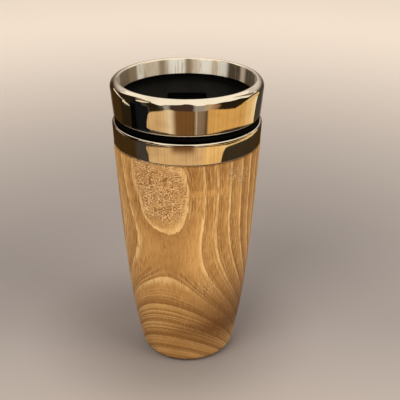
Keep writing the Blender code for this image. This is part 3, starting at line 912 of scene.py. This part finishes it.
# %% Turn the deck
CORE_BORE = 0.0390
CORE_RADIUS = 0.0401
DISH_RADIUS = 0.0371
DISH_ROUND = 0.0010
DECK_TOP = 0.1602
DECK_EDGE = 0.1623
TROUGH_TOP = 0.1577
CORE_UNDERSIDE = 0.1548
SKIRT_WALL = 0.0020
SKIRT_ROUND = 0.0010
CORE_BOTTOM = 0.1523
deck_corners = [
    (0, DECK_TOP, 0),
    (DISH_RADIUS, DECK_TOP, DISH_ROUND),
    (DISH_RADIUS, DECK_EDGE, CRISP),
    (CORE_BORE, DECK_EDGE, 0),
    (CORE_BORE, lid_high.z, CRISP),
    (CORE_RADIUS, lid_high.z, CRISP),
    (CORE_RADIUS, CORE_BOTTOM, CRISP),
    (CORE_BORE, CORE_BOTTOM, CRISP),
    (CORE_BORE, TROUGH_TOP, SOFT),
    (SKIRT_RADIUS, TROUGH_TOP, SOFT),
    (SKIRT_RADIUS, lid_low.z, EASED),
    (SKIRT_RADIUS - SKIRT_WALL, lid_low.z, EASED),
    (SKIRT_RADIUS - SKIRT_WALL, CORE_UNDERSIDE, SKIRT_ROUND),
    (0, CORE_UNDERSIDE, 0),
]
deck_moulding = lathe("deck_moulding", deck_corners)
THREAD_DEPTH = 0.0010
LID_THREAD_TURN = math.radians(240)
lid_root = SKIRT_RADIUS - THREAD_SUNK
thread_on(deck_moulding, lid_root, SKIRT_RADIUS + THREAD_DEPTH, lid_thread_height, LID_THREAD_TURN)

# %% A block with rounded upright edges
EDGE_STEPS = 3


def round_edges(piece, low, high, rounding, steps):
    """Round the edges of a piece in edit mode whose lower and upper end lie at two heights."""
    bpy.ops.mesh.select_mode(type="EDGE")
    bpy.ops.mesh.select_all(action="DESELECT")
    mesh = bmesh.from_edit_mesh(piece.data)
    for edge in mesh.edges:
        ends = sorted(vert.co.z for vert in edge.verts)
        if abs(ends[0] - low) < MERGE and abs(ends[1] - high) < MERGE:
            edge.select_set(True)
    mesh.select_flush_mode()
    bmesh.update_edit_mesh(piece.data)
    bpy.ops.mesh.bevel(offset=rounding, segments=steps, affect="EDGES")


def rounded_block(name, size, centre, corner, top_edge=0.0, bottom_edge=0.0):
    """A box whose upright edges are rounded, then its top and bottom edges if they have a radius."""
    block = start_from(bpy.ops.mesh.primitive_cube_add, name, 1.0)
    bpy.ops.object.mode_set(mode="EDIT")
    bpy.ops.mesh.select_all(action="SELECT")
    bpy.ops.transform.resize(value=size, center_override=ORIGIN)
    bpy.ops.transform.translate(value=centre)
    low, high = centre[2] - size[2] / 2, centre[2] + size[2] / 2
    round_edges(block, low, high, corner, CORNER_STEPS)
    for rounding, level in ((top_edge, high), (bottom_edge, low)):
        if rounding:
            round_edges(block, level, level, rounding, EDGE_STEPS)
    close_up()
    return block


# %% Cut the track, the sip hole and the vent
slide_low, slide_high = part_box("slider")
TRACK_WIDTH = 0.0220
TRACK_CORNER = 0.0020
TRACK_FLOOR = 0.1572
SLIDER_TRAVEL = 0.0150
CUT_ABOVE, CUT_DEPTH = 0.0020, 0.0200
GROOVE_REACH, GROOVE_HEIGHT = 0.0020, 0.0015
SIP_HOLE_SIZE = (0.0140, 0.0070)
SIP_HOLE_CORNER = 0.0031
SIP_HOLE_REACH = 0.0215
VENT_SPACING = 0.0020
VENT_RADIUS = 0.0014
NEARLY_ROUND = 0.98
track_length = slide_high.y - slide_low.y + SLIDER_TRAVEL + 2 * FIT_GAP
track_middle = (slide_low.y + slide_high.y + SLIDER_TRAVEL) / 2
vent_reach = SIP_HOLE_REACH - SIP_HOLE_SIZE[1] / 2 - VENT_SPACING - VENT_RADIUS
track_size = (TRACK_WIDTH, track_length, DECK_TOP + CUT_ABOVE - TRACK_FLOOR)
groove_size = (TRACK_WIDTH + GROOVE_REACH, track_length, GROOVE_HEIGHT)
hole_size = (*SIP_HOLE_SIZE, CUT_DEPTH)
vent_size = (2 * VENT_RADIUS, 2 * VENT_RADIUS, CUT_DEPTH)
hole_bottom = CORE_UNDERSIDE - CUT_DEPTH / 2
cuts = [
    ("track", track_size, track_middle, TRACK_FLOOR, TRACK_CORNER),
    ("groove", groove_size, track_middle, slide_low.z - FIT_GAP, TRACK_CORNER),
    ("sip", hole_size, -SIP_HOLE_REACH, hole_bottom, SIP_HOLE_CORNER),
    ("vent", vent_size, -vent_reach, hole_bottom, NEARLY_ROUND * VENT_RADIUS),
]
for name, size, middle, bottom, corner in cuts:
    cutter = rounded_block(name, size, (0, middle, bottom + size[2] / 2), corner)
    combine(deck_moulding, cutter, "DIFFERENCE")
hand_over(deck_moulding, "lid", "lid_body", "black_plastic", black)

# %% [markdown]
# ## Seals
#
# A silicone ring under the lid seals on the mouth, and a silicone pad under the slider closes the sip
# hole and the vent. Silicone is soft and dull, and it picks up dust.

# %% Silicone
silicone = Finish("silicone", {"Specular IOR Level": 0.3})
dust = silicone.ease(silicone.noise((0.8, 0.8, 0.8), 3.0), 0.58, 0.78)
silicone.feed("Base Color", silicone.mix(0.5 * dust, linear(48, 48, 47), linear(92, 90, 86)))
silicone.feed("Roughness", 0.58 + 0.2 * dust)
silicone.bump(silicone.noise((0.5, 0.5, 0.5)), 0.01)

# %% The lid's seal and the slider's seal
gasket_low, gasket_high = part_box("lid_gasket")
GASKET_BORE = 0.0325
GASKET_EDGE = 0.0006
VALLEY_REACH, VALLEY_DEPTH = 0.0007, 0.0005
gasket_middle = (GASKET_BORE + gasket_high.x) / 2
gasket_corners = [
    (GASKET_BORE, gasket_high.z, EASED),
    (gasket_high.x, gasket_high.z, EASED),
    (gasket_high.x, gasket_low.z, GASKET_EDGE),
    (gasket_middle + VALLEY_REACH, gasket_low.z, CRISP),
    (gasket_middle, gasket_low.z + VALLEY_DEPTH, CRISP),
    (gasket_middle - VALLEY_REACH, gasket_low.z, CRISP),
    (GASKET_BORE, gasket_low.z, GASKET_EDGE),
]
seal_ring = lathe("seal_ring", gasket_corners)
hand_over(seal_ring, "lid_seal", "lid_gasket", "silicone", silicone)
pad_low, pad_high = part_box("slider_seal")
pad_size, pad_centre = pad_high - pad_low, (pad_low + pad_high) / 2
seal_pad = rounded_block("seal_pad", tuple(pad_size), tuple(pad_centre), TRACK_CORNER, CRISP, EASED)
hand_over(seal_pad, "slider", "slider_seal", "silicone", silicone)

# %% [markdown]
# ## The thumb slider
#
# A plate that runs in the track on two side tongues, with three bars for the thumb. Plate, tongues and
# bars start as blocks with rounded edges, and Booleans join them and sink the seal's pocket.

# %% Build the slider
TONGUE_THICKNESS = 0.0009
SLIDER_THICKNESS = 0.0022
GRIP_SIZE = (0.0130, 0.0014)
GRIP_PITCH = 0.0030
GRIP_INSET = 0.0032
GRIP_BARS = 3
GRIP_CORNER = 0.0006
POCKET_CUT = 0.0040
slide_length = slide_high.y - slide_low.y
slide_middle = (slide_low.y + slide_high.y) / 2
plate_size = (TRACK_WIDTH - 2 * FIT_GAP, slide_length, SLIDER_THICKNESS)
plate_centre = (0, slide_middle, slide_low.z + SLIDER_THICKNESS / 2)
thumb_plate = rounded_block("thumb_plate", plate_size, plate_centre, TRACK_CORNER, SOFT)
tongue_size = (slide_high.x - slide_low.x, slide_length - 2 * TRACK_CORNER, TONGUE_THICKNESS)
tongue_centre = (0, slide_middle, slide_low.z + TONGUE_THICKNESS / 2)
combine(thumb_plate, rounded_block("tongue", tongue_size, tongue_centre, EASED), "UNION")
plate_top = slide_low.z + SLIDER_THICKNESS
bar_height = slide_high.z - plate_top + FIT_GAP
for i in range(GRIP_BARS):
    bar_place = (0, slide_high.y - GRIP_INSET - GRIP_PITCH * i, slide_high.z - bar_height / 2)
    bar = rounded_block("bar", (*GRIP_SIZE, bar_height), bar_place, GRIP_CORNER, EASED)
    combine(thumb_plate, bar, "UNION")
pocket_size = (pad_size.x + 2 * FIT_GAP, pad_size.y + 2 * FIT_GAP, POCKET_CUT)
pocket_centre = (0, pad_centre.y, pad_high.z + FIT_GAP - pocket_size[2] / 2)
combine(thumb_plate, rounded_block("pocket", pocket_size, pocket_centre, TRACK_CORNER), "DIFFERENCE")

# %% Plastic that thumbs have rubbed, with a painted sheen on top of the bars
def rubbed_with_sheen(finish):
    """1 along the top of the bars, where thumbs wear the plastic and a sheen is painted."""
    _, _, height = finish.split(finish.place)
    return finish.ease(height, plate_top * 1000 + 0.1, slide_high.z * 1000)


# The pale tops are thumb wear and a painted sheen.
rubbed_black_with_sheen = moulding("rubbed_moulding_with_sheen", 0.10, rubbed_with_sheen, -0.14, linear(15, 15, 15), linear(38, 37, 35))
hand_over(thumb_plate, "slider", "slider", "black_plastic", rubbed_black_with_sheen)

# %% [markdown]
# ## The stage
#
# The mug stands on a pale floor in soft light from the upper left. The floor's colour holds painted light
# far off and in front, and a painted shadow round the foot. Polished steel shows whatever surrounds it,
# so a ring of reflector cards stands round it, as in a studio: gold ones like a table of warm wood, and
# dark ones for contrast. Only reflections see the cards.

# %% Floor
FLOOR_SIZE = 8.0
FLOOR_HEIGHT = -0.00005
BACKDROP = linear(214, 202, 190)
FLOOR_MIDDLE, FLOOR_SHADE = linear(164, 155, 151), linear(110, 100, 94)
FLOOR_GLOW = linear(176, 162, 148)
SHADE_CENTRE = (-10.0, 12.0, 0.0)
floor = start_from(bpy.ops.mesh.primitive_plane_add, "floor", FLOOR_SIZE, (0, 0, FLOOR_HEIGHT))
paper = Finish("pale_floor", {"Roughness": 0.8, "Specular IOR Level": 0.1, "Emission Strength": 1.0})
_, depth, _ = paper.split(paper.place)
# Painted light and shade: the floor is paler and glows far off, is paler in front, and has a painted
# shadow round the foot.
far_light = paper.ease(paper.distance(ORIGIN), 130.0, 900.0)
front_light = paper.fall(depth, -120.0, 40.0)
lit_tone = paper.mix(0.5 * front_light, paper.mix(far_light, FLOOR_MIDDLE, BACKDROP), BACKDROP)
painted_foot_shadow = paper.fall(paper.distance(SHADE_CENTRE), 28.0, 100.0)
paper.feed("Base Color", paper.mix(0.42 * painted_foot_shadow, lit_tone, FLOOR_SHADE))
glow_share = far_light * (0.3 + 0.7 * paper.ease(depth, -300.0, 150.0))
paper.feed("Emission Color", paper.mix(glow_share, (0, 0, 0, 1), FLOOR_GLOW))
floor.data.materials.append(paper.material)
print("floor", FLOOR_SIZE, "m across")

# %% Card colours
TONES = {
    "gold": linear(226, 170, 93), "amber": linear(252, 200, 124), "sun": linear(246, 204, 138),
    "tan": linear(224, 180, 124), "straw": linear(238, 208, 164), "fawn": linear(197, 162, 120),
    "brown": linear(122, 83, 44), "chestnut": linear(144, 102, 69), "walnut": linear(72, 53, 42),
    "mist": linear(166, 155, 142), "grey": linear(144, 117, 91), "dusk": linear(98, 76, 52),
    "umber": linear(66, 46, 20), "bark": linear(62, 51, 35), "slate": linear(72, 65, 56),
    "coal": linear(43, 33, 18), "ink": linear(22, 23, 25), "black": linear(6, 6, 6),
    "haze": linear(150, 134, 116), "dim": linear(146, 124, 94), "pearl": linear(228, 214, 198),
    "cream": linear(255, 236, 200),
}
CARD_STRENGTH = 1.18
STREAK_MM = (2.4, 2.4, 90)
STREAK_DEPTH = 0.25
card_finishes = {}


def card_finish(name, tone_of):
    """A finish that only glows, with a tone that comes from the place, and upright streaks."""
    finish = Finish(f"{name}_card", {})
    streak = finish.ease(finish.noise(STREAK_MM, 3.0), 0.40, 0.75)
    strength = CARD_STRENGTH * (1 - STREAK_DEPTH * streak)
    glow = finish.node("ShaderNodeEmission", None, {"Color": tone_of(finish), "Strength": strength})
    finish.show("Material Output", glow)
    card_finishes[name] = finish


# %% [markdown]
# The cards are painted: their colour changes with the angle round the mug. A list says at which angle a
# colour starts and over how many degrees its edge is blurred.

# %% Painted cards
STRETCHES = {
    "table_high": [
        (-180, 0, "tan"), (-26.5, 8, "straw"), (-16, 6, "brown"), (10.1, 0.8, "cream"),
        (11.2, 0.8, "grey"), (21, 5, "dusk"), (25, 2, "gold"), (86, 20, "sun"), (102, 3, "cream"),
    ],
    "table_low": [(-180, 0, "tan"), (20, 8, "amber"), (45, 3, "sun")],
    "table_low_top": [
        (-180, 0, "tan"), (-19, 8, "brown"), (9, 8, "tan"), (22, 6, "amber"), (45, 3, "sun"),
    ],
    "left_dark": [(-180, 0, "black"), (-68, 3, "ink")],
    "shade_low": [(-180, 0, "umber"), (-69, 6, "slate"), (-30, 10, "bark"), (110, 12, "umber")],
    "horizon": [
        (-180, 0, "haze"), (-152, 20, "umber"), (-112, 8, "coal"), (-80, 6, "ink"), (-62, 5, "slate"),
        (-54, 4, "coal"), (-38, 4, "slate"), (-31, 3, "mist"), (-23, 4, "walnut"), (9, 3, "mist"),
        (24, 3, "fawn"), (36, 12, "chestnut"), (44, 4, "coal"), (90, 4, "umber"), (120, 6, "slate"),
        (150, 20, "haze"),
    ],
}


def painted(name):
    """The tone of a painted card."""
    stretches = [(start, blur, TONES[tone]) for start, blur, tone in STRETCHES[name]]
    return lambda finish: finish.round_axis(stretches)


def plain(name):
    """The tone of a card of one colour."""
    return lambda finish: TONES[name]


def rising(start, end, below, above):
    """A tone that turns into another one between two heights in millimetres."""

    def tone_of(finish):
        _, _, height = finish.split(finish.place)
        return finish.mix(finish.ease(height, start, end), below(finish), above(finish))

    return tone_of


for name in ("table_high", "left_dark", "shade_low", "horizon"):
    card_finish(name, painted(name))
for name in ("sun", "cream", "dim"):
    card_finish(name, plain(name))
card_finish("table_low", rising(108.5, 114.8, painted("table_low"), painted("table_low_top")))
card_finish("left_side", rising(200.0, 315.0, painted("horizon"), plain("pearl")))
card_finish("right_side", rising(175.0, 268.0, painted("horizon"), plain("pearl")))
print("card finishes:", ", ".join(card_finishes))

# %% Stand a card on a ring round the mug
CARD_STEP = 3.0


def ring_place(ring, degrees, height_mm):
    """A point on a ring. Degrees run from the front towards +X."""
    angle = math.radians(degrees - 90)
    return Vector((ring * math.cos(angle), ring * math.sin(angle), height_mm * 0.001))


def card_places(path):
    """A path of (degrees, low, high) places with more places between them."""
    places = []
    for here, ahead in zip(path, path[1:]):
        steps = max(1, round((ahead[0] - here[0]) / CARD_STEP))
        for i in range(steps):
            places.append([a + (b - a) * i / steps for a, b in zip(here, ahead)])
    return places + [path[-1]]


def stand_card(name, ring, path, finish_name):
    """A curved card on a ring, between the low and the high line of its path. Heights are in mm."""
    places = card_places(path)
    card = draw(name, [ring_place(ring, degrees, low) for degrees, low, _ in places])
    bpy.ops.object.mode_set(mode="OBJECT")
    draw("top_line", [ring_place(ring, degrees, high) for degrees, _, high in places])
    bpy.ops.object.mode_set(mode="OBJECT")
    card.select_set(True)
    bpy.context.view_layer.objects.active = card
    bpy.ops.object.join()
    bpy.ops.object.mode_set(mode="EDIT")
    bpy.ops.mesh.select_mode(type="EDGE")
    bpy.ops.mesh.select_all(action="SELECT")
    bpy.ops.mesh.bridge_edge_loops()
    bpy.ops.object.mode_set(mode="OBJECT")
    card.data.materials.append(card_finishes[finish_name].material)
    for sight in ("camera", "diffuse", "shadow", "transmission"):
        setattr(card, f"visible_{sight}", False)


# %% [markdown]
# Far cards make the skyline that the rolled lip shows as a dark, uneven line under its bright front.
# The two bands flare outwards, so both look down. Cards close to the mug keep what the upper band
# shows apart from what the collar shows.

# %% Far cards: a skyline all round, and its bright parts
HORIZON_RING, DIM_RING, SUN_RING, LINE_RING = 0.220, 0.217, 0.214, 0.212
SIDE_START, SIDE_TOP = 115, 330
skyline = [
    (-115, 240), (-106, 280), (-97, 370), (-86, 390), (-69, 355), (-58, 350), (-52, 280), (-47, 260),
    (-40, 225), (-34, 200), (-30, 265), (-16, 305), (-9, 330), (-4, 410), (3, 400), (8, 320),
    (13, 245), (22, 250), (29, 300), (35, 270), (41, 275), (50, 297), (56, 297), (62, 270), (81, 265),
    (86, 220), (91, 195), (101, 205), (115, 205),
]
stand_card("horizon", HORIZON_RING, [(degrees, 0, top) for degrees, top in skyline], "horizon")
stand_card("left_side", HORIZON_RING, [(-180, 0, SIDE_TOP), (-SIDE_START, 0, SIDE_TOP)], "left_side")
stand_card("right_side", HORIZON_RING, [(SIDE_START, 0, SIDE_TOP), (180, 0, SIDE_TOP)], "right_side")
left_dim = [(-88, 330, 370), (-84, 300, 370), (-69, 285, 350), (-58, 285, 350), (-52, 275, 285)]
stand_card("left_dim", DIM_RING, left_dim, "dim")
right_dim = [(95, 265, 300), (99, 215, 440), (107, 215, 440), (112, 235, 270)]
stand_card("right_dim", DIM_RING, right_dim, "dim")
window = [(-74, 225, 250), (-70, 205, 268), (-60, 208, 280), (-55, 240, 300)]
stand_card("window", SUN_RING, window, "cream")
far_sun = [
    (86, 60, 70), (91, 60, 134), (95, 60, 153), (99, 60, 169), (113, 60, 171), (117.5, 62, 165),
    (119, 80, 150), (120.5, 95, 110),
]
stand_card("far_sun", SUN_RING, far_sun, "sun")
edge_line = [
    (-126, 182, 202), (-116, 168, 192), (-110, 150, 186), (-105, 118, 160), (-101, 86, 130),
    (-98, 78, 96),
]
stand_card("edge_line", LINE_RING, edge_line, "cream")
print("far cards on rings of", HORIZON_RING, "m and less")

# %% Near cards: a warm table with dark things on it
TABLE_RING, DARK_RING, SHADE_RING, GLINT_RING = 0.100, 0.1015, 0.103, 0.099
HIGH_FOOT, HIGH_TOP, LOW_FOOT, LOW_TOP = 116.3, 136.5, 95.0, 116.3
for side, start in (("left", -180), ("right", 0)):
    half_ring = [(start, LOW_FOOT, LOW_TOP), (start + 180, LOW_FOOT, LOW_TOP)]
    stand_card(f"shade_low_{side}", SHADE_RING, half_ring, "shade_low")
left_dark = [
    (-78.5, HIGH_FOOT, 117.5), (-77.3, HIGH_FOOT, 123), (-76.6, HIGH_FOOT, HIGH_TOP),
    (-48.5, HIGH_FOOT, HIGH_TOP),
]
stand_card("left_dark", DARK_RING, left_dark, "left_dark")
table_high = [
    (-52.4, 120.0, 121.0), (-51.4, 119.7, 124.5), (-50.2, 119.4, 127.0), (-49.0, 119.2, 129.4),
    (-46.5, 118.8, 130.9), (-43, 118.8, 131.6), (-38, 118.5, 132.0), (-31, 118.2, 132.8),
    (-25, 117.9, 133.8), (-19.5, 117.4, 134.1), (-13.5, 116.9, 133.5), (22, 116.9, 133.2),
    (29.7, 117.2, 133.9), (40, 117.8, 133.3), (47, 118.3, 132.8), (62, 118.6, 132.3),
    (70.6, 118.6, 133.7), (75, 118.5, 134.7), (80, 118.3, 135.4), (96, 118.0, HIGH_TOP),
    (103, 118.0, HIGH_TOP), (105, 126.0, HIGH_TOP), (107, 132.0, HIGH_TOP), (109.5, 136.0, HIGH_TOP),
]
stand_card("table_high", TABLE_RING, table_high, "table_high")
foot_shade = [(-48.5, HIGH_FOOT, 119.6), (100, HIGH_FOOT, 119.6)]
stand_card("foot_shade", DARK_RING, foot_shade, "shade_low")
table_low = [
    (-52.5, 111.6, 112.9), (-49.9, 108.0, 113.2), (-48.2, LOW_FOOT, 113.4), (-40, LOW_FOOT, 114.0),
    (-21, LOW_FOOT, 115.0), (0, LOW_FOOT, 115.8), (15, LOW_FOOT, 115.4), (34, LOW_FOOT, 114.9),
    (42.6, LOW_FOOT, 114.7), (43.4, 104.4, 114.7), (44.8, 108.1, 114.6), (46.5, 110.7, 114.5),
    (49, 112.4, 114.3), (53.3, 113.0, 114.1), (61, 113.1, 114.1), (75, 113.2, 114.4),
    (86, 113.1, 114.8), (98, 113.3, 115.0), (110, 113.9, 115.4),
]
stand_card("table_low", TABLE_RING, table_low, "table_low")
near_line = [(-92, 134.6, 136.0), (-83, 133.4, 134.6), (-77.8, 132.9, 133.4)]
stand_card("near_line", GLINT_RING, near_line, "cream")

# %% [markdown]
# ## The light
#
# What the camera and the steel see of the surround is bright, but what lights the mug is weak, so that
# three soft boxes give the shading. One surround could do both, but then the wood would look flat.

# %% World
CEILING, CEILING_GAIN = linear(255, 242, 219), 0.26
DAYLIGHT, DAYLIGHT_STRENGTH = linear(255, 250, 243), 0.31
world = bpy.data.worlds.new("studio")
world.use_nodes = True
bpy.context.scene.world = world
studio = Nodes(world.node_tree)


def glow(colour, strength):
    """Light from all round."""
    return studio.node("ShaderNodeBackground", None, {"Color": colour, "Strength": strength})


def ray(kind):
    """1 for a ray of this kind."""
    return studio.node("ShaderNodeLightPath", output=f"Is {kind} Ray")


_, _, upwards = studio.split(studio.node("ShaderNodeTexCoord", output="Generated"))
ceiling = studio.ease(upwards, 0.0, 0.15)
looked_at = glow(studio.mix(ceiling, BACKDROP, CEILING), 1.0 + CEILING_GAIN * ceiling)
felt = glow(DAYLIGHT, DAYLIGHT_STRENGTH)
camera_or_glossy = studio.math("MAXIMUM", ray("Camera"), ray("Glossy"))
any_look = studio.math("MAXIMUM", camera_or_glossy, ray("Transmission"))
studio.show("World Output", studio.node("ShaderNodeMixShader", None, {0: any_look, 1: felt, 2: looked_at}))
print("surround:", len(studio.tree.nodes), "nodes")

# %% Lamps
LAMP_AIM = Vector((0, 0, 0.09))


def soft_lamp(name, place, size, power, colour):
    """A square soft box that faces the middle of the mug."""
    data = bpy.data.lights.new(name, "AREA")
    data.shape = "SQUARE"
    data.size = size
    data.energy = power
    data.color = colour
    lamp = bpy.data.objects.new(name, data)
    bpy.context.collection.objects.link(lamp)
    lamp.location = place
    lamp.visible_glossy = False
    beam = LAMP_AIM - Vector(place)
    lamp.rotation_euler = beam.to_track_quat("-Z", "Y").to_euler()
    print(f"{name}: {power} W at {beam.length:.2f} m")


soft_lamp("key_lamp", (-0.50, -0.80, 1.05), 0.8, 10.6, (1.0, 0.96, 0.90))
soft_lamp("fill_lamp", (0.85, -0.60, 0.85), 0.7, 6.6, (1.0, 0.97, 0.92))
soft_lamp("top_lamp", (0.10, 0.35, 1.20), 0.7, 3.5, (1.0, 0.97, 0.92))

# %% [markdown]
# ## The camera
#
# The camera looks down on the mug by about 25 degrees, from half a metre, with a short telephoto lens.
# Its place was fitted to the rim, the bands and the foot.

# %% Camera
CAMERA_PLACE = (0.0, -0.45296, 0.31085)
CAMERA_PITCH = math.radians(25.293)
CAMERA_YAW = math.radians(0.943)
CAMERA_ROLL = math.radians(0.227)
SENSOR_MM, LENS_MM = 36.0, 76.5
camera_data = bpy.data.cameras.new("camera")
camera_data.sensor_width = SENSOR_MM
camera_data.lens = LENS_MM
camera = bpy.data.objects.new("camera", camera_data)
bpy.context.collection.objects.link(camera)
tilt = Matrix.Rotation(math.pi / 2 - CAMERA_PITCH, 3, "X")
aim = Matrix.Rotation(-CAMERA_YAW, 3, "Z") @ tilt @ Matrix.Rotation(CAMERA_ROLL, 3, "Z")
camera.location = CAMERA_PLACE
camera.rotation_euler = aim.to_euler()
bpy.context.scene.camera = camera
bpy.context.scene.view_settings.view_transform = "Standard"
print(f"camera {math.dist(CAMERA_PLACE, LAMP_AIM):.3f} m from the mug")
